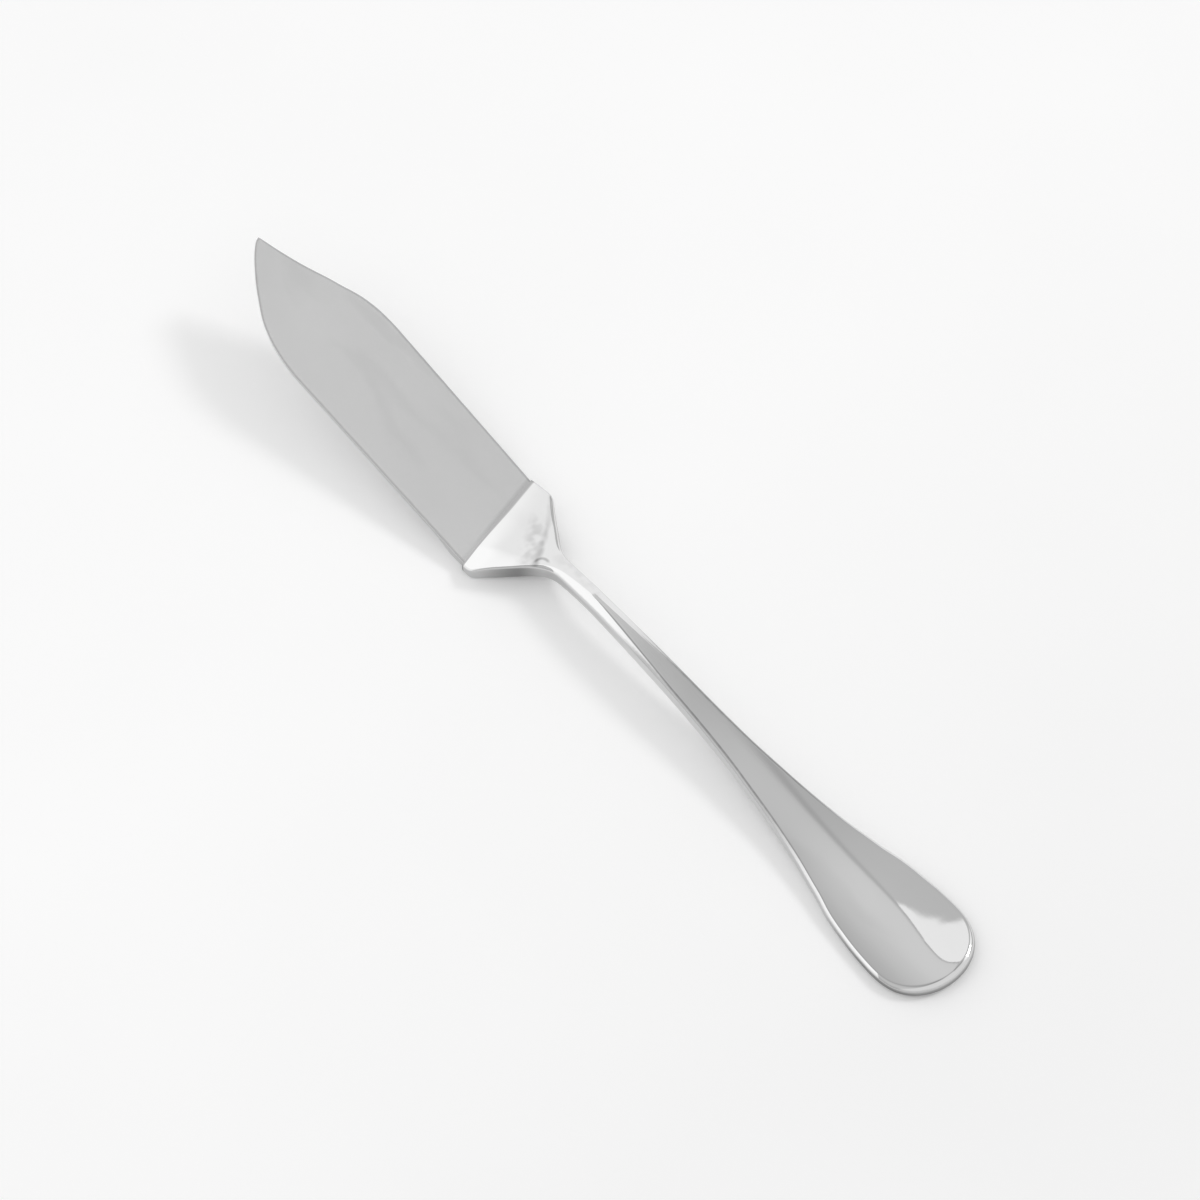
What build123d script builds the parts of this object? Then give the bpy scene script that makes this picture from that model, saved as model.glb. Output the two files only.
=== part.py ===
from build123d import *
import math
import os

os.makedirs("parts", exist_ok=True)

# A fish knife with a wide flat blade and an arched metal handle, lying as it rests on a table.
# +X runs from the blade's tip to the handle's end, +Y points to the blade's back, +Z is up.
# The origin is on the table, at the middle of the knife's length and width.

# Lengths, seen from above, and the width of the handle's rounded end
blade_length = 75.4
handle_length = 126.7
end_width = 20.6

# Blade outline, measured from the long axis of the handle
back_rise = 8.6
edge_drop = 13.9
edge_drop_at_heel = 12.6
tip_drop = 0.9
clip_length = 31.5
belly_length = 28.5
tip_radius = 0.4

# Blade, side view: it climbs to the tip, thins towards it, and is thick in a band at the heel
blade_slope = 8.7
heel_thickness = 2.4
blade_thickness = 1.2
tip_thickness = 0.8
heel_band = 4.0
swell_length = 6.5
blade_edge_radius = 0.3

# Heel line, where the blade meets the shoulder of the handle, slanted back towards the blade's back
heel_slant = 15.5
shoulder_step = 0.5

# Tongue on the blade, let into a slot in the shoulder, and the solder that fills the joint
tongue_length = 6.5
tongue_width = 10.0
tongue_thickness = 0.9
tongue_height = 1.3
tongue_drop = 2.0
solder_gap = 0.12

# Shoulder and neck, seen from above, with places counted from the heel
shoulder_rise = 9.5
back_corner_place = 3.1
back_neck_place = 14.9
edge_corner_place = 6.1
edge_neck_place = 16.0
shoulder_corner_radius = 2.5
neck_radius = 8.0
stem_start = 23.8
stem_width = 4.2

# Handle, side view: the underside's height at the top of the arch, and the metal's thickness
arch_height = 4.1
neck_thickness = 3.8
stem_thickness = 3.3
end_thickness = 2.4
end_lift = 0.5
rest_flat_depth = 0.12

# Crown across the top of the handle, the rounding of its upper rims and the bevel of its lower ones
shoulder_crown = 0.1
neck_crown = 0.6
stem_crown = 1.0
end_crown = 0.5
handle_edge_radius = 0.8
lower_bevel = 0.4
slab_margin = 1.6

# Places worked out from the sizes
heel_x = (blade_length - handle_length) / 2
axis_y = (edge_drop - end_width / 2) / 2
slope = math.tan(math.radians(blade_slope))
slant = math.radians(heel_slant)
heel_tilt = slope * math.tan(slant)
shoulder_thickness = heel_thickness + shoulder_step + rest_flat_depth
slot_width = tongue_width + 2 * solder_gap
slot_thickness = tongue_thickness + 2 * solder_gap
cut_height = 4 * (arch_height + stem_thickness)
overrun = edge_corner_place
facing_share = 0.5


def upright_plane(from_heel, turn):
    """An upright plane across the knife that faces the handle, turned towards the blade's back."""
    return Plane(
        origin=(heel_x + from_heel, axis_y, 0),
        x_dir=(-math.sin(turn), math.cos(turn), 0),
        z_dir=(math.cos(turn), math.sin(turn), 0),
    )


def plan_point(from_heel, from_axis):
    """A point seen from above: along the knife from the heel, and towards the blade's back."""
    return (heel_x + from_heel, axis_y + from_axis)


def side_point(from_heel, height):
    """A point seen from the side: along the knife from the heel, and above the table."""
    return (heel_x + from_heel, height)


def long_rims(faces):
    """The edges of faces that run along the knife or right round its end, and not across it."""
    return faces.edges().filter_by(
        lambda rim: abs((rim @ 0).X - (rim @ 1).X) > solder_gap or rim.length > handle_length
    )


# Planes of the joint: the blade's heel and the shoulder's face
heel_plane = upright_plane(0, slant)
shoulder_plane = heel_plane.offset(solder_gap)

# Blade before the joint is cut: its outline seen from above, between the table and its flat top
clip_rise = back_rise + tip_drop
clip_shares = [(0.27, 0.28), (0.55, 0.655), (0.80, 0.935)]
clip_points = [
    plan_point(along * clip_length - blade_length, up * clip_rise - tip_drop) for along, up in clip_shares
]
belly_drop = edge_drop - tip_drop
belly_shares = [(0.07, 0.165), (0.205, 0.39), (0.40, 0.65), (0.61, 0.865), (0.82, 0.97)]
belly_points = [
    plan_point(along * belly_length - blade_length, -down * belly_drop - tip_drop)
    for along, down in belly_shares
]
tip = plan_point(-blade_length, -tip_drop)
hump = plan_point(clip_length - blade_length, back_rise)
belly_end = plan_point(belly_length - blade_length, -edge_drop)
nose_direction = Vector(tip) - Vector(belly_points[0])
tip_top = heel_thickness + blade_length * slope
swell_end = heel_band + swell_length

with BuildPart() as blade_form:
    with BuildSketch(Plane.XY):
        with BuildLine():
            Spline([tip] + clip_points + [hump], tangents=[(clip_length, clip_rise), (1, 0)])
            back = Line(hump, plan_point(overrun, back_rise))
            cut_end = Line(back @ 1, plan_point(overrun, -edge_drop_at_heel))
            edge = Line(cut_end @ 1, belly_end)
            Spline([belly_end] + belly_points[::-1] + [tip], tangents=[edge % 1, nose_direction])
        make_face()
    extrude(amount=cut_height)
    with BuildSketch(Plane.XZ.offset(-axis_y)):
        with BuildLine():
            Polyline(
                side_point(overrun, heel_thickness - overrun * slope),
                side_point(-blade_length, tip_top),
                side_point(-blade_length, 0),
                side_point(overrun, 0),
                close=True,
            )
        make_face()
    extrude(amount=2 * edge_drop, both=True, mode=Mode.INTERSECT)
    # The underside is cut away parallel to the top, along the slanted heel line
    with BuildSketch(Plane.XZ.offset(-axis_y)):
        with BuildLine():
            under = Line(
                side_point(-blade_length - overrun, tip_top + overrun * slope - tip_thickness),
                side_point(-swell_end, heel_thickness + swell_end * slope - blade_thickness),
            )
            swell = Spline(
                under @ 1,
                side_point(-heel_band, -heel_thickness),
                tangents=[under % 1, (0, -1)],
            )
            Polyline(swell @ 1, ((under @ 0).X, (swell @ 1).Y), under @ 0)
        make_face()
    extrude(
        amount=2 * edge_drop,
        dir=(-math.sin(slant), math.cos(slant), slope * math.sin(slant)),
        both=True,
        mode=Mode.SUBTRACT,
    )
    fillet(blade_form.edges().filter_by(Axis.Z).sort_by(Axis.X)[0], radius=tip_radius)
    blade_rims = blade_form.edges().filter_by(
        lambda rim: abs((rim @ 0).Y - (rim @ 1).Y) < belly_drop
        and abs((rim @ 0).X - (rim @ 1).X) > tip_radius / 4
    )
    fillet(blade_rims, radius=blade_edge_radius)

# Blade, cut off at the heel, with the tongue that the shoulder holds
with BuildPart() as blade:
    add(blade_form.part)
    split(bisect_by=heel_plane, keep=Keep.BOTTOM)
    with BuildSketch(heel_plane):
        with Locations((-tongue_drop, tongue_height)):
            Rectangle(tongue_width, tongue_thickness)
    extrude(amount=tongue_length)

# Solder film between the heel and the shoulder and all round the tongue
with BuildPart() as solder_seam:
    add(blade_form.part)
    split(bisect_by=heel_plane, keep=Keep.TOP)
    split(bisect_by=shoulder_plane, keep=Keep.BOTTOM)
    with BuildSketch(shoulder_plane):
        with Locations((-tongue_drop, tongue_height)):
            Rectangle(slot_width, slot_thickness)
    extrude(amount=tongue_length)
    with BuildSketch(heel_plane):
        with Locations((-tongue_drop, tongue_height)):
            Rectangle(tongue_width, tongue_thickness)
    extrude(amount=tongue_length, mode=Mode.SUBTRACT)

# Handle slab: sections across it give the arch, the thickness and the crown of the top.
# The first ones stand along the heel line, the others turn square to the handle at the neck.
station_shares = [-0.11, -0.04, 0.03, 0.07, 0.11, 0.15, 0.22, 0.34, 0.50, 0.66, 0.78, 0.87, 1.02]
turn_shares = [1, 1, 1, 0.6, 0.25, 0, 0, 0, 0, 0, 0, 0, 0]
height_shares = [0, 0, 0.02, 0.16, 0.45, 0.74, 1, 0.91, 0.60, 0.26, 0.06, 0, 0]
lift_shares = [0, 0, 0, 0, 0, 0, 0, 0, 0, 0, 0, 0, 1]
shoulder_width_shares = [1, 1, 1, 0.75, 0.40, 0.15, 0.03, 0, 0, 0, 0, 0, 0]
end_width_shares = [0, 0, 0, 0, 0, 0, 0, 0, 0.08, 0.35, 0.72, 0.94, 1]
slab_shares = zip(
    station_shares, turn_shares, height_shares, lift_shares, shoulder_width_shares, end_width_shares
)
neck_share = 0.07
crest_share = 0.22


def along_handle(along, at_shoulder, at_neck, at_crest, at_end):
    """A size that changes evenly from shoulder to neck, to the top of the arch, and to the end."""
    if along < neck_share:
        return at_shoulder + (at_neck - at_shoulder) * along / neck_share
    if along < crest_share:
        return at_neck + (at_crest - at_neck) * (along - neck_share) / (crest_share - neck_share)
    return at_crest + (at_end - at_crest) * (along - crest_share) / (1 - crest_share)


with BuildPart() as arched_slab:
    for along, turn, height, lift, shoulder_part, end_part in slab_shares:
        low = height * arch_height + lift * end_lift - rest_flat_depth
        high = low + along_handle(along, shoulder_thickness, neck_thickness, stem_thickness, end_thickness)
        crown = along_handle(max(along, 0), shoulder_crown, neck_crown, stem_crown, end_crown)
        reach = stem_width / 2 + slab_margin + shoulder_part * edge_drop + end_part * end_width / 2
        lean = turn * heel_tilt * reach
        with BuildSketch(upright_plane(along * handle_length, turn * slant)):
            with BuildLine():
                base = Line((-reach, low), (reach, low))
                side = Line(base @ 1, (reach, high - crown + lean))
                arc = ThreePointArc(side @ 1, (0, high), (-reach, high - crown - lean))
                Line(arc @ 1, base @ 0)
            make_face()
    loft()

# Handle outline, seen from above: the stem flares to the round end alike on both sides
flare_shares = [
    (0.34, 0.02),
    (0.49, 0.09),
    (0.60, 0.235),
    (0.69, 0.42),
    (0.77, 0.675),
    (0.84, 0.91),
    (0.91, 1),
]
round_shares = (0.968, 0.83)
flare_points = [
    (along * handle_length, stem_width / 2 + wide * (end_width - stem_width) / 2)
    for along, wide in flare_shares
]
round_point = (round_shares[0] * handle_length, round_shares[1] * end_width / 2)

with BuildPart() as handle:
    with BuildSketch(Plane.XY.offset(-cut_height)):
        with BuildLine():
            back_shoulder = FilletPolyline(
                plan_point(-overrun, back_rise + shoulder_step),
                plan_point(back_corner_place, shoulder_rise),
                plan_point(back_neck_place, stem_width / 2),
                plan_point(stem_start, stem_width / 2),
                radius=[shoulder_corner_radius, neck_radius],
            )
            back_flare = Spline(
                [back_shoulder @ 1] + [plan_point(*point) for point in flare_points],
                tangents=[(1, 0), (1, 0)],
            )
            back_round = Spline(
                back_flare @ 1,
                plan_point(*round_point),
                plan_point(handle_length, 0),
                tangents=[(1, 0), (0, -1)],
            )
            edge_round = Spline(
                back_round @ 1,
                plan_point(round_point[0], -round_point[1]),
                plan_point(flare_points[-1][0], -flare_points[-1][1]),
                tangents=[(0, -1), (-1, 0)],
            )
            edge_flare = Spline(
                [plan_point(along, -wide) for along, wide in flare_points[::-1]]
                + [plan_point(stem_start, -stem_width / 2)],
                tangents=[(-1, 0), (-1, 0)],
            )
            edge_shoulder = FilletPolyline(
                edge_flare @ 1,
                plan_point(edge_neck_place, -stem_width / 2),
                plan_point(edge_corner_place, -edge_drop_at_heel - shoulder_step),
                plan_point(-overrun, -edge_drop_at_heel - shoulder_step),
                radius=[neck_radius, shoulder_corner_radius],
            )
            Line(edge_shoulder @ 1, back_shoulder @ 0)
        make_face()
    extrude(amount=2 * cut_height)
    add(arched_slab.part, mode=Mode.INTERSECT)
    top_faces = handle.faces().filter_by(lambda face: face.normal_at().Z > facing_share)
    fillet(long_rims(top_faces), radius=handle_edge_radius)
    under_faces = handle.faces().filter_by(lambda face: face.normal_at().Z < -facing_share)
    chamfer(long_rims(under_faces), length=lower_bevel)
    split(bisect_by=shoulder_plane, keep=Keep.TOP)
    split(bisect_by=Plane.XY, keep=Keep.TOP)
    with BuildSketch(shoulder_plane):
        with Locations((-tongue_drop, tongue_height)):
            Rectangle(slot_width, slot_thickness)
    extrude(amount=tongue_length, mode=Mode.SUBTRACT)

# Files, one for each piece
blade.part.label = "blade"
solder_seam.part.label = "solder_seam"
handle.part.label = "handle"
export_step(blade.part, "parts/blade.step")
export_step(solder_seam.part, "parts/solder_seam.step")
export_step(handle.part, "parts/handle.step")
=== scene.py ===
import bmesh
import bpy
import math
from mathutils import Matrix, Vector


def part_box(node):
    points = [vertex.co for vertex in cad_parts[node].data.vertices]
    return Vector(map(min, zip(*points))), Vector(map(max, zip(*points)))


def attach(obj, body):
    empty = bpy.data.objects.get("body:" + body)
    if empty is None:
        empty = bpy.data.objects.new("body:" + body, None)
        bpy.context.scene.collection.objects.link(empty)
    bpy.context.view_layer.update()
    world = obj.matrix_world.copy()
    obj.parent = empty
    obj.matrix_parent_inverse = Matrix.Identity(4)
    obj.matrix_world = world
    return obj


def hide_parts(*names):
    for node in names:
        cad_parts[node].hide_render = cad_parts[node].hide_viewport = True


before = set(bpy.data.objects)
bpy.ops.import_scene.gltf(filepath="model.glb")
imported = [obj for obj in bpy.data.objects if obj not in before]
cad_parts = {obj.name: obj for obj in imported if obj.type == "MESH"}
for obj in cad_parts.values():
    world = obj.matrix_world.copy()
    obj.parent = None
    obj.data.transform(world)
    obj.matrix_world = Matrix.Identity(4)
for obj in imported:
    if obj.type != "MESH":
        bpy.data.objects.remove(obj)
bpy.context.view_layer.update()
print("frame loaded, with nodes", sorted(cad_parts))

scene = bpy.context.scene
scene.view_settings.view_transform = "Standard"


# Camera: it looks down at the knife from its edge side, as the photo does
camera = {
    "target": Vector((-0.0004, 0.0046, 0.0)),
    "turn": math.radians(50.4),        # round from looking along +Y
    "drop": math.radians(58.0),        # down from level
    "distance": 0.7,
    "fieldOfView": math.radians(18.3),
    "nearLimit": 0.01,
}


def addCamera(settings):
    turn, drop = settings["turn"], settings["drop"]
    backward = Vector((
        math.sin(turn) * math.cos(drop),
        -math.cos(turn) * math.cos(drop),
        math.sin(drop),
    ))
    data = bpy.data.cameras.new("photoCamera")
    data.angle = settings["fieldOfView"]
    data.clip_start = settings["nearLimit"]
    photoCamera = bpy.data.objects.new("photoCamera", data)
    photoCamera.location = settings["target"] + settings["distance"] * backward
    photoCamera.rotation_euler = backward.to_track_quat("Z", "Y").to_euler()
    scene.collection.objects.link(photoCamera)
    scene.camera = photoCamera


addCamera(camera)


# A value in a node tree, so that sums and products of nodes read as plain arithmetic
class Value:
    def __init__(self, tree, socket):
        self.tree = tree
        self.socket = socket

    def __add__(self, other):
        return calculate(self.tree, "ADD", self, other)

    def __radd__(self, other):
        return calculate(self.tree, "ADD", other, self)

    def __sub__(self, other):
        return calculate(self.tree, "SUBTRACT", self, other)

    def __rsub__(self, other):
        return calculate(self.tree, "SUBTRACT", other, self)

    def __mul__(self, other):
        return calculate(self.tree, "MULTIPLY", self, other)

    def __rmul__(self, other):
        return calculate(self.tree, "MULTIPLY", other, self)

    def __truediv__(self, other):
        return calculate(self.tree, "DIVIDE", self, other)

    def __pow__(self, other):
        return calculate(self.tree, "POWER", self, other)

    def __neg__(self):
        return 0 - self

    def __abs__(self):
        return calculate(self.tree, "ABSOLUTE", self)


def feed(tree, socket, value):
    if isinstance(value, Value):
        tree.links.new(value.socket, socket)
    elif isinstance(value, bpy.types.NodeSocket):
        tree.links.new(value, socket)
    else:
        socket.default_value = value


def calculate(tree, operation, *values):
    node = tree.nodes.new("ShaderNodeMath")
    node.operation = operation
    for socket, value in zip(node.inputs, values):
        feed(tree, socket, value)
    return Value(tree, node.outputs[0])


def addNode(tree, kind, inputs=None, **settings):
    node = tree.nodes.new(kind)
    for name, value in settings.items():
        setattr(node, name, value)
    for name, value in (inputs or {}).items():
        feed(tree, node.inputs[name], value)
    return node


def smoothRise(value, start, end):
    # 0 before start, 1 after end, and an even S between them
    node = addNode(
        value.tree,
        "ShaderNodeMapRange",
        {"Value": value, "From Min": start, "From Max": end},
        interpolation_type="SMOOTHSTEP",
    )
    return Value(value.tree, node.outputs["Result"])


def smoothFall(value, start, end):
    return 1 - smoothRise(value, start, end)


def smoothBand(value, rise, fall):
    return smoothRise(value, *rise) * smoothFall(value, *fall)


def smoothLimit(operation, value, other, blend):
    return calculate(value.tree, operation, value, other, blend)


def softened(value, width):
    # the size of a value, whatever its sign, with a round bottom in place of the corner at 0
    return (value * value + width * width) ** 0.5 - width


def largest(value, other):
    return calculate(value.tree, "MAXIMUM", value, other)


def squareRoot(value):
    return calculate(value.tree, "SQRT", value)


def blendValues(value, other, share):
    return value + (other - value) * share


def followCurve(value, shares, straight=False):
    # a drawn curve from 0 to 1 along, through the shares
    node = addNode(value.tree, "ShaderNodeFloatCurve", {"Value": value})
    curve = node.mapping.curves[0]
    curve.points[0].location = shares[0]
    curve.points[1].location = shares[-1]
    for along, height in shares[1:-1]:
        curve.points.new(along, height)
    if straight:
        for point in curve.points:
            point.handle_type = "VECTOR"
    node.mapping.update()
    return Value(value.tree, node.outputs["Value"])


def nameInputs(tree, names):
    for name in names:
        tree.interface.new_socket(name=name, in_out="INPUT", socket_type="NodeSocketFloat")
    source = tree.nodes.new("NodeGroupInput")
    return {name: Value(tree, source.outputs[name]) for name in names}


def placeGroup(tree, group, inputs):
    kind = "GeometryNodeGroup" if tree.bl_idname == "GeometryNodeTree" else "ShaderNodeGroup"
    node = tree.nodes.new(kind)
    node.node_tree = group
    for name, value in inputs.items():
        feed(tree, node.inputs[name], value)
    return node


slant = math.tan(math.radians(15.5))     # of the heel line, seen from above
slope = math.tan(math.radians(8.7))      # of the blade, as it climbs to its tip


def closeOutline(tree, back, edge, closing):
    # gives out the squared half widths, drawn in where the piece closes
    finish = tree.nodes.new("NodeGroupOutput")
    for name, half in (("backSquared", back), ("edgeSquared", edge)):
        tree.interface.new_socket(name=name, in_out="OUTPUT", socket_type="NodeSocketFloat")
        feed(tree, finish.inputs[name], half * half * closing)
    return tree


# Handle: the places and heights that its skin follows, in metres, counted from the heel.
# Its outline has a shoulder line and a slanted line on each side, which meet at a corner.
handle = {
    "length": 0.1267,
    "endWidth": 0.0206,
    "stemWidth": 0.0042,
    "backHeel": 0.0091,
    "backRise": 0.0095,
    "backCorner": 0.0031,
    "backCornerBlend": 0.0012,
    "backNeck": 0.0149,
    "backNeckBlend": 0.0020,
    "edgeDrop": 0.0131,
    "edgeCorner": 0.0061,
    "edgeCornerBlend": 0.0018,
    "edgeNeck": 0.0160,
    "edgeNeckBlend": 0.0049,
    "archHeight": 0.0041,
    "shoulderHeight": 0.0029,
    "climb": 0.17,                # slope of the shoulder's facet and the neck
    "crestBlend": 0.0020,
    "stemThickness": 0.0033,
    "endThickness": 0.0024,
    "endLift": 0.0006,
    "flatDepth": 0.00012,
    "shoulderRim": 0.0004,        # from here on, the radii of the rims
    "backRim": 0.0014,
    "stemRim": 0.0019,
    "flareRim": 0.0008,
    "endRim": 0.0016,
    "lowerRim": 0.0004,
    "heelRim": 0.00015,
    "edgeFall": 0.10,             # slope of the shoulder's lower part, towards its edge side
    "edgeFallPlace": 0.006,
    "edgeFallStart": 0.0056,      # how far from the axis it begins, at that place
    "edgeFallBlend": 0.0018,
    "edgeFallLean": 0.45,
    "endCrown": 4.0,
    "ridgeFall": 0.030,
    "ridgeSoftness": 0.0024,      # the ridge's width where it begins
    "ridgeWidth": 0.0009,
    "ridgeReach": 0.010,
    "turnLength": 0.009,
}
# where each change takes place, in shares of the handle's length
handleStages = {
    "archRise": (0.02, 0.22),
    "archFall": (0.22, 0.87),
    "thinning": (0.22, 1.0),
    "edgeFallEnd": (0.08, 0.13),
    "crown": (0.45, 0.7),
    "ridge": (0.42, 0.76),
    "ridgeNarrowing": (0.72, 0.86),
    "edgeStemRim": (0.07, 0.22),
    "backRim": (0.0, 0.07),
    "backStemRim": (0.08, 0.17),
    "flareRim": (0.21, 0.42),
    "endRim": (0.93, 1.0),
}
handleFlareShares = [
    (0, 0), (0.34, 0.02), (0.49, 0.09), (0.60, 0.235), (0.69, 0.42), (0.77, 0.675), (0.84, 0.91),
    (0.91, 1), (1, 1),
]
# the ridge runs along the back side, nears the axis at the end, and turns back round it there
ridgeShares = [
    (0, 0.70), (0.474, 0.43), (0.60, 0.358), (0.75, 0.27), (0.864, 0.225), (0.916, 0.128),
    (0.946, 0.058), (0.962, 0.055), (0.973, 0.10), (0.981, 0.21), (0.989, 0.42), (1, 0.72),
]
handleCounts = {"along": 420, "across": 106}

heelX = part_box("handle")[1].x - handle["length"]
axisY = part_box("handle")[1].y - handle["endWidth"] / 2


def handleOutline():
    # the squares of the handle's half widths, on its back side and its edge side
    tree = bpy.data.node_groups.new("handleOutline", "GeometryNodeTree")
    size = nameInputs(tree, ["place"] + list(handle))
    place = size["place"]
    share = place / size["length"]
    stemHalf = size["stemWidth"] / 2
    flare = followCurve(share, handleFlareShares)
    wide = stemHalf + flare * (size["endWidth"] - size["stemWidth"]) / 2

    backHeelLine = size["backHeel"] + (size["backRise"] - size["backHeel"]) * place / size["backCorner"]
    backSlope = (size["backRise"] - stemHalf) / (size["backNeck"] - size["backCorner"])
    backDiagonal = size["backRise"] - (place - size["backCorner"]) * backSlope
    backShoulder = smoothLimit("SMOOTH_MIN", backHeelLine, backDiagonal, size["backCornerBlend"])
    back = smoothLimit("SMOOTH_MAX", wide, backShoulder, size["backNeckBlend"])

    edgeSlope = (size["edgeDrop"] - stemHalf) / (size["edgeNeck"] - size["edgeCorner"])
    edgeDiagonal = size["edgeDrop"] - (place - size["edgeCorner"]) * edgeSlope
    edgeShoulder = smoothLimit("SMOOTH_MIN", edgeDiagonal, size["edgeDrop"], size["edgeCornerBlend"])
    edge = smoothLimit("SMOOTH_MAX", wide, edgeShoulder, size["edgeNeckBlend"])

    # the end closes as a squarish round
    roundStart, roundPower = 0.91, 2.65
    towardsEnd = largest((share - roundStart) / (1 - roundStart), 0.0)
    return closeOutline(tree, back, edge, 1 - towardsEnd ** roundPower)


def handleHeights(size, along, lateral, turned, backSide):
    # heights of the underside and the top before their rims are rounded, and the upper rim's radius
    share = along / size["length"]

    def risen(stage):
        return smoothRise(share, *handleStages[stage])

    falling = 1 - risen("archFall")
    upturnStart = 0.86
    upturn = largest((share - upturnStart) / (1 - upturnStart), 0.0)
    lift = upturn * upturn * size["endLift"] - size["flatDepth"]
    low = risen("archRise") * falling * size["archHeight"] + lift

    thickness = blendValues(size["stemThickness"], size["endThickness"], risen("thinning"))
    descent = falling * size["archHeight"] + lift + thickness
    rise = size["shoulderHeight"] + along * size["climb"]
    lean = turned * slope * slant * lateral
    fromRidge = lateral - followCurve(share, ridgeShares) * size["ridgeReach"]
    ridgeWidth = blendValues(size["ridgeSoftness"], size["ridgeWidth"], risen("ridgeNarrowing"))
    ridge = softened(fromRidge, ridgeWidth) * size["ridgeFall"] * risen("ridge")
    crown = lateral * lateral * size["endCrown"] * risen("crown")
    fallStart = size["edgeFallStart"] + (size["edgeFallPlace"] - along) * size["edgeFallLean"]
    overEdge = softened(largest(-lateral - fallStart, 0.0), size["edgeFallBlend"])
    fall = overEdge * size["edgeFall"] * (1 - risen("edgeFallEnd"))
    top = smoothLimit("SMOOTH_MIN", rise, descent, size["crestBlend"]) + lean - ridge - crown - fall

    edgeRim = blendValues(size["shoulderRim"], size["stemRim"], risen("edgeStemRim"))
    backRim = blendValues(size["shoulderRim"], size["backRim"], risen("backRim"))
    backRim = blendValues(backRim, size["stemRim"], risen("backStemRim"))
    rim = blendValues(edgeRim, backRim, backSide)
    rim = blendValues(rim, size["flareRim"], risen("flareRim"))
    rim = blendValues(rim, size["endRim"], risen("endRim"))
    return low, top, rim


# Blade: its outline is counted from the tip, and its heights from the heel
blade = {
    "length": 0.07507,
    "tipCut": 0.00033,
    "tipRound": 0.0006,
    "backRise": 0.0086,
    "edgeDrop": 0.0139,
    "edgeDropAtHeel": 0.0126,
    "tipDrop": 0.0009,
    "clipLength": 0.0315,
    "bellyLength": 0.0285,
    "heelThickness": 0.0024,
    "thickness": 0.0012,
    "tipThickness": 0.0008,
    "heelBand": 0.0040,
    "swellLength": 0.0065,
    "rim": 0.00012,
    "lowerRim": 0.0003,
    "turnLength": 0.030,
}
clipShares = [(0, 0), (0.27, 0.28), (0.55, 0.655), (0.80, 0.935), (1, 1)]
bellyShares = [
    (0, 0), (0.07, 0.165), (0.205, 0.39), (0.40, 0.65), (0.61, 0.865), (0.82, 0.97), (1, 1),
]
bladeCounts = {"along": 320, "across": 84}


def bladeOutline():
    # the squares of the blade's half widths, on each side of the line through its tip
    tree = bpy.data.node_groups.new("bladeOutline", "GeometryNodeTree")
    size = nameInputs(tree, ["place"] + list(blade))
    fromTip = size["length"] + size["tipCut"] - size["place"]
    back = followCurve(fromTip / size["clipLength"], clipShares) * (size["backRise"] + size["tipDrop"])
    belly = followCurve(fromTip / size["bellyLength"], bellyShares) * (size["edgeDrop"] - size["tipDrop"])
    afterBelly = largest(fromTip - size["bellyLength"], 0.0)
    narrowing = (size["edgeDrop"] - size["edgeDropAtHeel"]) / (size["length"] - size["bellyLength"])
    edge = belly - afterBelly * narrowing
    unrounded = largest(1 - largest(fromTip - size["tipCut"], 0.0) / size["tipRound"], 0.0)
    return closeOutline(tree, back, edge, 1 - unrounded * unrounded)


def bladeHeights(size, along, lateral, turned, backSide):
    # under the heel is a thick band, and past it the underside swells up to the thin blade
    top = size["heelThickness"] + along * slope + turned * slope * slant * lateral
    thinning = (size["thickness"] - size["tipThickness"]) / size["length"]
    beforeSwell = largest(1 - largest(along - size["heelBand"], 0.0) / size["swellLength"], 0.0)
    swell = 1 - beforeSwell ** 3
    low = (top - size["thickness"] + along * thinning) * swell
    return low, top, size["rim"]


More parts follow.
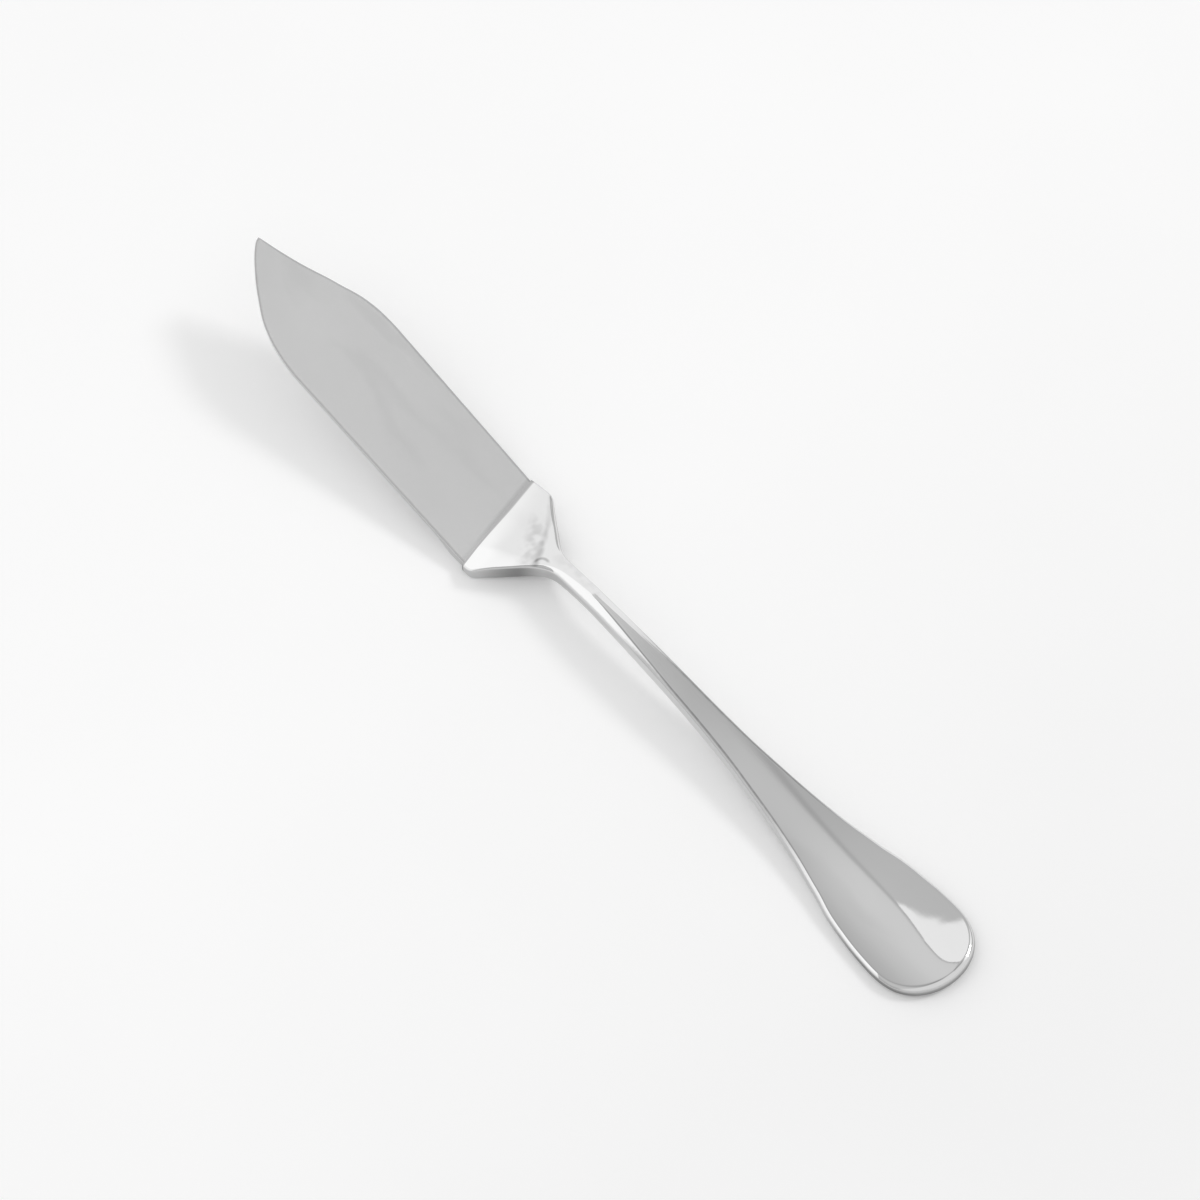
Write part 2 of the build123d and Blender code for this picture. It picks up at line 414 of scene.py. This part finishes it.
# Skin: both pieces are grown from their outline and heights in the same way
def skinTree(name, sizes, counts, outline, heights, direction, axisShift, heelRim):
    # a closed skin between two height fields, gridded along the piece and across it from rim to rim
    tree = bpy.data.node_groups.new(name, "GeometryNodeTree")
    tree.interface.new_socket(name="Geometry", in_out="OUTPUT", socket_type="NodeSocketGeometry")
    size = nameInputs(tree, sizes)
    tree.interface.new_socket(name="material", in_out="INPUT", socket_type="NodeSocketMaterial")
    source = tree.nodes.new("NodeGroupInput")

    # each row of the grid goes once round the piece, over the top and back underneath
    rows, columns = counts["along"], counts["across"]
    ring = 2 * columns + 1
    grid = addNode(tree, "GeometryNodeMeshGrid", {"Vertices X": rows, "Vertices Y": ring})
    index = Value(tree, addNode(tree, "GeometryNodeInputIndex").outputs[0])
    row = calculate(tree, "FLOOR", (index + 0.5) / ring)
    onRing = calculate(tree, "MODULO", index - row * ring + 0.25, 2.0 * columns) - 0.25
    under = calculate(tree, "GREATER_THAN", onRing, columns - 0.5)
    across = (onRing - under * columns) / (columns - 1.0)
    angle = (across - 0.5) * math.pi * (1 - under * 2)
    sine = calculate(tree, "SINE", angle)
    backSide = calculate(tree, "GREATER_THAN", sine, 0.0)

    # rows crowd towards both ends, where the skin turns most; the first one closes the heel's face
    rowShare = largest(row - 1.0, 0.0) / (rows - 2.0)
    along = (1 - calculate(tree, "COSINE", rowShare * math.pi)) / 2 * size["length"]
    turned = smoothFall(along, 0.0, size["turnLength"])
    beforeEnd = calculate(tree, "LESS_THAN", row, rows - 1.5)

    def halfSquared(place):
        node = placeGroup(tree, outline, dict(size, place=place))
        backSquared = Value(tree, node.outputs["backSquared"])
        edgeSquared = Value(tree, node.outputs["edgeSquared"])
        return largest(blendValues(edgeSquared, backSquared, backSide), 0.0)

    # the slanted heel line turns square to the axis along the piece, so width and place depend on
    # each other, and a few passes settle them
    passes = 5
    place = along
    for step in range(passes):
        half = squareRoot(halfSquared(place)) * beforeEnd
        lateral = half * sine
        place = along - (lateral + axisShift) * slant * direction * turned

    # distance from the rim, measured straight across along the sides and squarely at the round end
    nudge, hair = 0.00002, 1e-12
    squared = halfSquared(place)
    change = (halfSquared(place + nudge) - halfSquared(place - nudge)) / (2 * nudge)
    inside = largest(squared - lateral * lateral, 0.0)
    nearEnd = inside / squareRoot(change * change + lateral * lateral * 4.0 + hair)
    flare = change * change / (squared * 4.0 + hair)
    nearSide = (half - abs(lateral)) / squareRoot(flare + 1.0)
    fromRim = blendValues(nearSide, nearEnd, smoothRise(along / size["length"], 0.5, 0.8))

    low, top, rim = heights(size, along, lateral + axisShift, turned, backSide)

    def rounding(distance, radius):
        left = largest(radius - distance, 0.0)
        return radius - squareRoot(largest(radius * radius - left * left, 0.0))

    heelRound = rounding(along, heelRim) if heelRim else 0.0
    topHeight = top - largest(rounding(fromRim, rim), heelRound)
    lowHeight = largest(low, 0.0) + rounding(fromRim, size["lowerRim"])
    middle = (topHeight + lowHeight) / 2
    closing = calculate(tree, "LESS_THAN", row, 0.5)
    height = blendValues(blendValues(topHeight, lowHeight, under), middle, closing)

    point = addNode(
        tree,
        "ShaderNodeCombineXYZ",
        {"X": heelX + place * direction, "Y": axisY + axisShift + lateral, "Z": height},
    )
    skin = addNode(
        tree, "GeometryNodeSetPosition", {"Geometry": grid.outputs["Mesh"], "Position": point.outputs[0]}
    )
    for title, value in (("rimDistance", fromRim), ("alongPiece", along), ("acrossPiece", lateral)):
        skin = addNode(
            tree,
            "GeometryNodeStoreNamedAttribute",
            {"Geometry": skin.outputs[0], "Name": title, "Value": value},
        )
    merged = addNode(tree, "GeometryNodeMergeByDistance", {"Geometry": skin.outputs[0], "Distance": 2e-7})
    real = addNode(tree, "GeometryNodeRealizeInstances", {"Geometry": merged.outputs[0]})
    painted = addNode(
        tree, "GeometryNodeSetMaterial", {"Geometry": real.outputs[0], "Material": source.outputs["material"]}
    )
    finish = tree.nodes.new("NodeGroupOutput")
    feed(tree, finish.inputs["Geometry"], painted.outputs[0])
    return tree


def growPiece(name, tree, sizes, material):
    # runs the tree on an empty mesh and keeps its result as a plain mesh
    seed = bpy.data.objects.new(name + "Seed", bpy.data.meshes.new(name + "Seed"))
    scene.collection.objects.link(seed)
    modifier = seed.modifiers.new("skin", "NODES")
    modifier.node_group = tree
    for item in tree.interface.items_tree:
        if item.in_out == "INPUT" and item.name in sizes:
            modifier[item.identifier] = sizes[item.name]
        elif item.in_out == "INPUT":
            modifier[item.identifier] = material
    graph = bpy.context.evaluated_depsgraph_get()
    mesh = bpy.data.meshes.new_from_object(seed.evaluated_get(graph))
    mesh.name = name
    bpy.data.objects.remove(seed)
    piece = bpy.data.objects.new(name, mesh)
    scene.collection.objects.link(piece)
    turnOutwards(mesh)
    print(name, "has", len(mesh.polygons), "faces")
    return piece


def turnOutwards(mesh):
    # clears slivers away, turns the faces outwards, and keeps only real corners sharp
    shape = bmesh.new()
    shape.from_mesh(mesh)
    bmesh.ops.dissolve_degenerate(shape, dist=1e-8, edges=shape.edges)
    bmesh.ops.recalc_face_normals(shape, faces=shape.faces)
    openEdges = [edge for edge in shape.edges if not edge.is_manifold]
    print("open edges", len(openEdges), "volume in mm3", round(shape.calc_volume() * 1e9, 1))
    shape.to_mesh(mesh)
    shape.free()
    mesh.shade_smooth()
    mesh.set_sharp_from_angle(angle=math.radians(35))


# Finishes and painted shade: the groups below are shared, and each metal sets its own values on them
def startGroup(name, inputs, outputs):
    group = bpy.data.node_groups.new(name, "ShaderNodeTree")
    for title in outputs:
        group.interface.new_socket(name=title, in_out="OUTPUT", socket_type="NodeSocketFloat")
    group.interface.new_socket(name="place", in_out="INPUT", socket_type="NodeSocketVector")
    values = nameInputs(group, inputs)
    place = group.nodes.new("NodeGroupInput").outputs["place"]
    return group, values, place, group.nodes.new("NodeGroupOutput")


def grain(tree, place, scale, detail, stretch=(1, 1, 1)):
    mapped = addNode(tree, "ShaderNodeMapping", {"Vector": place, "Scale": stretch})
    noise = addNode(
        tree, "ShaderNodeTexNoise", {"Vector": mapped.outputs[0], "Scale": scale, "Detail": detail}
    )
    return Value(tree, noise.outputs[0])


def polishGroup():
    # fine lines left by the polishing wheel, which runs along the knife
    group, values, place, finish = startGroup("polishLines", ["depth", "haze"], ["height", "roughness"])
    lines = grain(group, place, scale=260, detail=3, stretch=(1, 22, 22))
    hairs = grain(group, place, scale=420, detail=2, stretch=(1, 60, 60))
    lineShare = 0.6
    height = (lines * lineShare + hairs * (1 - lineShare)) * values["depth"]
    feed(group, finish.inputs["height"], height)
    feed(group, finish.inputs["roughness"], smoothRise(lines, 0.35, 0.75) * values["haze"])
    return group


def cloudGroup():
    # slow changes of tone, from wiping, washing and the rolled sheet
    group, values, place, finish = startGroup("clouds", ["amount", "streaks"], ["tone"])
    clouds = grain(group, place, scale=55, detail=3, stretch=(1, 1.6, 1))
    wavering = grain(group, place, scale=70, detail=2)
    waverReach = 0.006
    parts = addNode(group, "ShaderNodeSeparateXYZ", {"Vector": place})
    shifted = Value(group, parts.outputs["Y"]) + (wavering - 0.5) * waverReach
    moved = addNode(
        group, "ShaderNodeCombineXYZ", {"X": parts.outputs["X"], "Y": shifted, "Z": parts.outputs["Z"]}
    )
    streaks = grain(group, moved.outputs[0], scale=42, detail=1, stretch=(1, 4, 1))
    dark = smoothRise(streaks, 0.52, 0.75) * values["streaks"]
    feed(group, finish.inputs["tone"], 1 - (clouds - 0.5) * values["amount"] - dark)
    return group


def paintedRimGroup():
    # painted shade: a darker line along the rims, which dims the reflections they catch
    group, values, place, finish = startGroup("paintedRimLine", ["distance", "width", "strength"], ["tone"])
    ragged = grain(group, place, scale=900, detail=2)
    reach = values["width"] * (0.7 + ragged * 0.6)
    near = smoothFall(values["distance"], reach * 0.35, reach)
    feed(group, finish.inputs["tone"], 1 - near * values["strength"])
    return group


shared = {"polish": polishGroup(), "clouds": cloudGroup(), "rim": paintedRimGroup()}
# how far up a face looks, where 1 is straight up, as each finish or painted shade comes in
upward = {"side": (0.15, 0.75), "paintedRimLine": (0.2, 0.5), "paintedMarks": (0.5, 0.9), "polish": (0.6, 0.95)}


def mark(tree, name):
    # a value that the skin keeps at its points
    node = addNode(tree, "ShaderNodeAttribute", attribute_name=name)
    return Value(tree, node.outputs["Fac"])


def facingUp(tree, finishName):
    # 1 where a face looks up enough for the finish, and 0 where it looks aside
    normal = addNode(tree, "ShaderNodeTexCoord").outputs["Normal"]
    parts = addNode(tree, "ShaderNodeSeparateXYZ", {"Vector": normal})
    return smoothRise(Value(tree, parts.outputs["Z"]), *upward[finishName])


def startMetal(name, look):
    material = bpy.data.materials.new(name)
    material.use_nodes = True
    tree = material.node_tree
    shader = tree.nodes["Principled BSDF"]
    shader.inputs["Metallic"].default_value = 1
    place = addNode(tree, "ShaderNodeTexCoord").outputs["Object"]
    lines = placeGroup(
        tree, shared["polish"], {"place": place, "depth": look["lineDepth"], "haze": look["haze"]}
    )
    clouds = placeGroup(
        tree, shared["clouds"], {"place": place, "amount": look["clouds"], "streaks": look["streaks"]}
    )
    height = Value(tree, lines.outputs["height"]) * facingUp(tree, "polish")
    bump = addNode(tree, "ShaderNodeBump", {"Height": height, "Distance": 0.001, "Strength": 1.0})
    feed(tree, shader.inputs["Normal"], bump.outputs[0])
    feed(tree, shader.inputs["Roughness"], Value(tree, lines.outputs["roughness"]) + look["roughness"])
    return material, tree, shader, place, Value(tree, clouds.outputs["tone"])


def paint(tree, shader, colour, tone):
    mixed = addNode(tree, "ShaderNodeVectorMath", {"Vector": colour, "Scale": tone}, operation="SCALE")
    feed(tree, shader.inputs["Base Color"], mixed.outputs[0])


# painted shade along the rims
def paintedRimTone(tree, place, width, strength):
    inputs = {"place": place, "distance": mark(tree, "rimDistance"), "width": width, "strength": strength}
    return Value(tree, placeGroup(tree, shared["rim"], inputs).outputs["tone"])


def paintedSideShade(tree, darkness):
    # painted shade: the sides are darker than the top, in place of the shaded floor that they reflect
    return 1 - (1 - facingUp(tree, "side")) * darkness


# In the looks, each range says where a mark begins or ends, in metres from the heel or from the axis
bladeLook = {
    "colour": (0.84, 0.84, 0.84),
    "roughness": 0.13,
    "haze": 0.06,
    "lineDepth": 0.010,
    "clouds": 0.07,
    "streaks": 0.045,
    "rimWidth": 0.0006,
    "rimDarkness": 0.20,
    "seamWidth": 0.0014,          # painted shade: the blade darkens along the step at the solder line
    "seamDarkness": 0.16,
    "seamUpper": (-0.009, -0.001),
    "sideDarkness": 0.06,
    # painted shade towards the tip
    "tipFrom": (0.050, 0.074),
    "tipDarkness": 0.05,
}


def makeBladeMetal(look):
    material, tree, shader, place, tone = startMetal("bladeMetal", look)
    # painted shade along the step where the blade meets the handle's shoulder
    fromSeam = mark(tree, "alongPiece")
    upper = smoothRise(mark(tree, "acrossPiece"), *look["seamUpper"])
    darkness = (0.5 + upper * 0.5) * look["seamDarkness"]
    seam = 1 - smoothFall(fromSeam, look["seamWidth"] * 0.3, look["seamWidth"]) * darkness
    # painted shade: the blade darkens towards its tip
    tone = tone * (1 - smoothRise(fromSeam, *look["tipFrom"]) * look["tipDarkness"])
    tone = tone * paintedRimTone(tree, place, look["rimWidth"], look["rimDarkness"]) * seam
    # painted shade on the sides
    paint(tree, shader, look["colour"], tone * paintedSideShade(tree, look["sideDarkness"]))
    return material


handleLook = {
    "colour": (0.81, 0.81, 0.81),
    "roughness": 0.024,
    "haze": 0.010,
    "lineDepth": 0.0012,
    "clouds": 0.06,
    "streaks": 0.03,
    # painted shade on the stem's top and along its rims
    "stemFrom": (0.030, 0.046),
    "stemTo": (0.082, 0.106),
    "stemDarkness": 0.14,
    "rimWidth": 0.0005,
    "stemRimWidth": 0.0003,       # added on the stem
    "rimDarkness": 0.15,
    "stemRimFrom": (0.034, 0.044),
    "stemRimTo": (0.080, 0.094),
    "stemRimDarkness": 0.38,
    # painted shade on the sides, deeper by the neck and at the end
    "sideDarkness": 0.09,
    "neckSideFrom": (0.006, 0.0125),
    "neckSideTo": (0.0118, 0.0158),
    "neckSideDarkness": 0.47,
    "endSideFrom": (0.100, 0.114),
    "endSideDarkness": 0.48,
    # painted shade on the shoulder along the heel step
    "heelWidth": 0.0010,
    "heelUpper": (-0.008, 0.003),
    "heelDarkness": 0.48,
    # painted shade along the fold, on the facet and on the neck, and a painted dark crescent
    "foldStart": Vector((0.0054, 0.0080)),     # the fold where the shoulder's facet meets the neck
    "foldEnd": Vector((0.0136, -0.0030)),
    "foldWidth": 0.0009,
    "foldWaver": 0.0012,
    "foldTo": (0.0145, 0.0165),
    "foldDarkness": 0.13,
    "facetFrom": (-0.0045, -0.0022),           # painted shade streaks on the facet, counted from the fold
    "facetTo": (0.0, 0.0010),
    "facetUpper": (0.001, 0.006),
    "facetDarkness": 0.20,
    "neckFrom": (0.013, 0.017),
    "neckTo": (0.024, 0.031),
    "neckUpper": (-0.0012, 0.0004),
    "neckDarkness": 0.08,
    "crescentCentre": Vector((0.0147, -0.0027)),
    "crescentRadius": 0.00127,
    "crescentWidth": 0.00055,
    "crescentFade": 0.0012,
    "crescentDarkness": 0.38,
}


def paintedFoldShade(tree, place, look):
    # painted shade: a soft dark line along the fold, and faint dark streaks on the facet before it and the
    # neck behind it
    start, end = look["foldStart"], look["foldEnd"]
    run = (end - start).normalized()
    fromHeel, fromAxis = mark(tree, "alongPiece"), mark(tree, "acrossPiece")
    along, across = fromHeel - start.x, fromAxis - start.y
    waver = grain(tree, place, scale=300, detail=2) - 0.5
    past = across * run.x - along * run.y + waver * look["foldWaver"]
    onFold = smoothFall(abs(past), 0.0, look["foldWidth"]) * look["foldDarkness"]
    streaks = smoothRise(grain(tree, place, scale=420, detail=1), 0.35, 0.65)
    before = smoothBand(past, look["facetFrom"], look["facetTo"])
    before = before * smoothFall(fromAxis, *look["facetUpper"]) * streaks * look["facetDarkness"]
    behind = smoothBand(fromHeel, look["neckFrom"], look["neckTo"])
    behind = behind * smoothRise(fromAxis, *look["neckUpper"]) * streaks * look["neckDarkness"]
    folds = (onFold + before) * smoothFall(fromHeel, *look["foldTo"]) + behind
    folds = folds + paintedCrescent(fromHeel, fromAxis, look)
    return 1 - folds * facingUp(tree, "paintedMarks")


def paintedCrescent(fromHeel, fromAxis, look):
    # painted reflection: the small dark crescent at the lower end of the fold
    centre = look["crescentCentre"]
    right, up = fromHeel - centre.x, fromAxis - centre.y
    fromArc = abs((right * right + up * up) ** 0.5 - look["crescentRadius"])
    onArc = smoothFall(fromArc, 0.0, look["crescentWidth"]) * look["crescentDarkness"]
    return onArc * smoothRise(up - right, 0.0, look["crescentFade"])


def makeHandleMetal(look):
    material, tree, shader, place, tone = startMetal("handleMetal", look)
    along = mark(tree, "alongPiece")
    # painted shade: the stem's top is darker, and the bright line along its rims is dimmed
    onStem = smoothBand(along, look["stemFrom"], look["stemTo"])
    rimWidth = look["rimWidth"] + onStem * look["stemRimWidth"]
    stemRim = smoothBand(along, look["stemRimFrom"], look["stemRimTo"]) * facingUp(tree, "paintedRimLine")
    rimDarkness = look["rimDarkness"] * (1 - onStem * 0.7) + stemRim * look["stemRimDarkness"]
    stemTopShade = 1 - onStem * facingUp(tree, "paintedMarks") * look["stemDarkness"]
    tone = tone * paintedRimTone(tree, place, rimWidth, rimDarkness) * stemTopShade

    # painted shade on the shoulder's first millimetre, along the step at the seam
    upper = smoothRise(mark(tree, "acrossPiece"), *look["heelUpper"])
    reach = look["heelWidth"] * (0.55 + upper * 0.45)
    heel = 1 - smoothFall(along, reach * 0.5, reach) * look["heelDarkness"]
    tone = tone * heel * paintedFoldShade(tree, place, look)

    # painted shade on the sides, deeper by the neck and at the end
    byNeck = smoothBand(along, look["neckSideFrom"], look["neckSideTo"]) * look["neckSideDarkness"]
    byEnd = smoothRise(along, *look["endSideFrom"]) * look["endSideDarkness"]
    darkness = look["sideDarkness"] * (1 - onStem * 0.8) + byNeck + byEnd
    paint(tree, shader, look["colour"], tone * paintedSideShade(tree, darkness))
    return material


solderLook = {
    "colour": (0.52, 0.52, 0.52),
    "roughness": 0.38,
    "haze": 0.15,
    "lineDepth": 0.010,
    "clouds": 0.30,
    "streaks": 0.10,
}


def makeSolderMetal(look):
    material, tree, shader, place, tone = startMetal("solderMetal", look)
    paint(tree, shader, look["colour"], tone)
    return material


bladeMetal = makeBladeMetal(bladeLook)
handleMetal = makeHandleMetal(handleLook)
solderMetal = makeSolderMetal(solderLook)
print("finishes ready")

handleTree = skinTree(
    "handleSkin", list(handle), handleCounts, handleOutline(), handleHeights, 1, 0.0, handle["heelRim"]
)
handlePiece = growPiece("polishedHandle", handleTree, handle, handleMetal)
bladeTree = skinTree(
    "bladeSkin", list(blade), bladeCounts, bladeOutline(), bladeHeights, -1, -blade["tipDrop"], 0
)
bladePiece = growPiece("polishedBlade", bladeTree, blade, bladeMetal)

for piece, node, slotName in (
    (handlePiece, "handle", "handle_metal"),
    (bladePiece, "blade", "blade_metal"),
):
    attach(piece, "root")
    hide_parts(node)
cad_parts["solder_seam"].data.materials.clear()
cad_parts["solder_seam"].data.materials.append(solderMetal)


# Studio: a pale floor, a low soft key from the upper right, and a bright room with a greyer ceiling.
# The metal shows the room: light on the side past the blade's tip, grey overhead, and a paler grey past
# the handle's end.
studio = {
    "floorHalf": 1.5,
    "floorColour": (0.93, 0.93, 0.93),
    "floorClouds": 0.035,
    "floorCloudLevel": 0.45,
    "floorShade": 0.065,          # painted shade: how much the floor's colour darkens towards the handle's end
    "floorShadeFrom": (-0.05, 0.16),
    "floorGlow": 0.11,            # painted light: the floor glows, so that shadows stay light
    "keyDirection": Vector((0.195, 0.807, 0.556)),
    "keyStrength": 0.75,
    "keyWidth": math.radians(13),
    "keyGlow": 1.1,
    "keyGlowFrom": (0.905, 0.985),
    "cameraStrength": 0.95,
    "diffuseLevel": 0.98,
    "bright": 0.97,
    "brighter": 0.20,             # added towards the blade's edge side
    "brighterFrom": (-0.29, -0.13),
    "zoneBlend": 0.002,
    "stripDarkness": 0.35,        # of a dark strip just past overhead, seen in the rim of the handle's end
    "stripFrom": (-0.36, -0.22),
    "stripTo": (-0.08, 0.02),
    "stripAcross": (0.48, 0.58),
    "farGrey": 0.80,              # beyond the strip
    "farGreyTo": (-0.52, -0.30),
}
# how far past overhead the light side begins, and how grey the rest is, each drawn across the room
# from the side of the blade's edge (0) to the side of its back (1)
lightStartShares = [
    (0, 0.20), (0.06, 0.245), (0.12, 0.27), (0.20, 0.30), (0.35, 0.33), (0.475, 0.44), (0.56, 0.52),
    (0.65, 0.53), (0.676, 0.52), (0.684, 0.282), (0.71, 0.293), (0.738, 0.316), (0.759, 0.336),
    (0.79, 0.345), (0.90, 0.335), (1, 0.335),
]
greyShares = [
    (0, 0.60), (0.325, 0.58), (0.425, 0.46), (0.50, 0.42), (0.56, 0.48), (0.61, 0.65), (0.645, 0.725),
    (0.668, 0.70), (0.681, 0.50), (0.693, 0.58), (0.725, 0.58), (0.80, 0.55), (1, 0.55),
]


def addFloor(settings):
    half = settings["floorHalf"]
    corners = [(-half, -half, 0), (half, -half, 0), (half, half, 0), (-half, half, 0)]
    mesh = bpy.data.meshes.new("floor")
    mesh.from_pydata(corners, [], [(0, 1, 2, 3)])
    floor = bpy.data.objects.new("floor", mesh)
    scene.collection.objects.link(floor)
    material = bpy.data.materials.new("paleFloor")
    material.use_nodes = True
    tree = material.node_tree
    shader = tree.nodes["Principled BSDF"]
    shader.inputs["Roughness"].default_value = 1.0
    shader.inputs["Specular IOR Level"].default_value = 0.0
    place = addNode(tree, "ShaderNodeTexCoord").outputs["Object"]
    clouds = grain(tree, place, scale=14, detail=2)
    away = Value(tree, addNode(tree, "ShaderNodeSeparateXYZ", {"Vector": place}).outputs["X"])
    # painted shade, darker towards the handle's end
    shade = smoothRise(away, *settings["floorShadeFrom"]) * settings["floorShade"]
    tone = 1 - (clouds - settings["floorCloudLevel"]) * settings["floorClouds"] - shade
    paint(tree, shader, settings["floorColour"], tone)
    # painted light: the floor glows, which lightens its shadows
    shader.inputs["Emission Color"].default_value = (1, 1, 1, 1)
    feed(tree, shader.inputs["Emission Strength"], tone * settings["floorGlow"])
    mesh.materials.append(material)


def addKey(settings):
    data = bpy.data.lights.new("softKey", "SUN")
    data.energy = settings["keyStrength"]
    data.angle = settings["keyWidth"]
    key = bpy.data.objects.new("softKey", data)
    key.rotation_euler = settings["keyDirection"].to_track_quat("Z", "Y").to_euler()
    scene.collection.objects.link(key)


def addRoom(settings):
    world = bpy.data.worlds.new("brightRoom")
    scene.world = world
    world.use_nodes = True
    tree = world.node_tree
    background = tree.nodes["Background"]
    background.inputs["Color"].default_value = (1, 1, 1, 1)
    direction = addNode(tree, "ShaderNodeTexCoord").outputs["Generated"]
    parts = addNode(tree, "ShaderNodeSeparateXYZ", {"Vector": direction})
    aside, ahead, up = (Value(tree, parts.outputs[axis]) for axis in "XYZ")
    acrossRoom = (ahead + 1) / 2

    strip = smoothBand(-aside, settings["stripFrom"], settings["stripTo"])
    strip = strip * smoothRise(acrossRoom, *settings["stripAcross"]) * settings["stripDarkness"]
    beyond = smoothFall(-aside, *settings["farGreyTo"])
    grey = blendValues(followCurve(acrossRoom, greyShares) * (1 - strip), settings["farGrey"], beyond)

    lightStart = followCurve(acrossRoom, lightStartShares, straight=True)
    blend = settings["zoneBlend"]
    onLight = smoothRise(-aside - lightStart, -blend, blend)
    light = settings["bright"] + settings["brighter"] * smoothRise(-ahead, *settings["brighterFrom"])
    toKey = settings["keyDirection"].normalized()
    towardsKey = aside * toKey.x + ahead * toKey.y + up * toKey.z
    nearKey = smoothRise(towardsKey, *settings["keyGlowFrom"])
    seen = blendValues(blendValues(grey, light, onLight), settings["keyGlow"], nearKey)

    path = addNode(tree, "ShaderNodeLightPath")
    glossy = Value(tree, path.outputs["Is Glossy Ray"])
    direct = Value(tree, path.outputs["Is Camera Ray"])
    lighting = seen * (settings["diffuseLevel"] + glossy * (1 - settings["diffuseLevel"]))
    feed(tree, background.inputs["Strength"], blendValues(lighting, settings["cameraStrength"], direct))


addFloor(studio)
addKey(studio)
addRoom(studio)
print("studio ready")
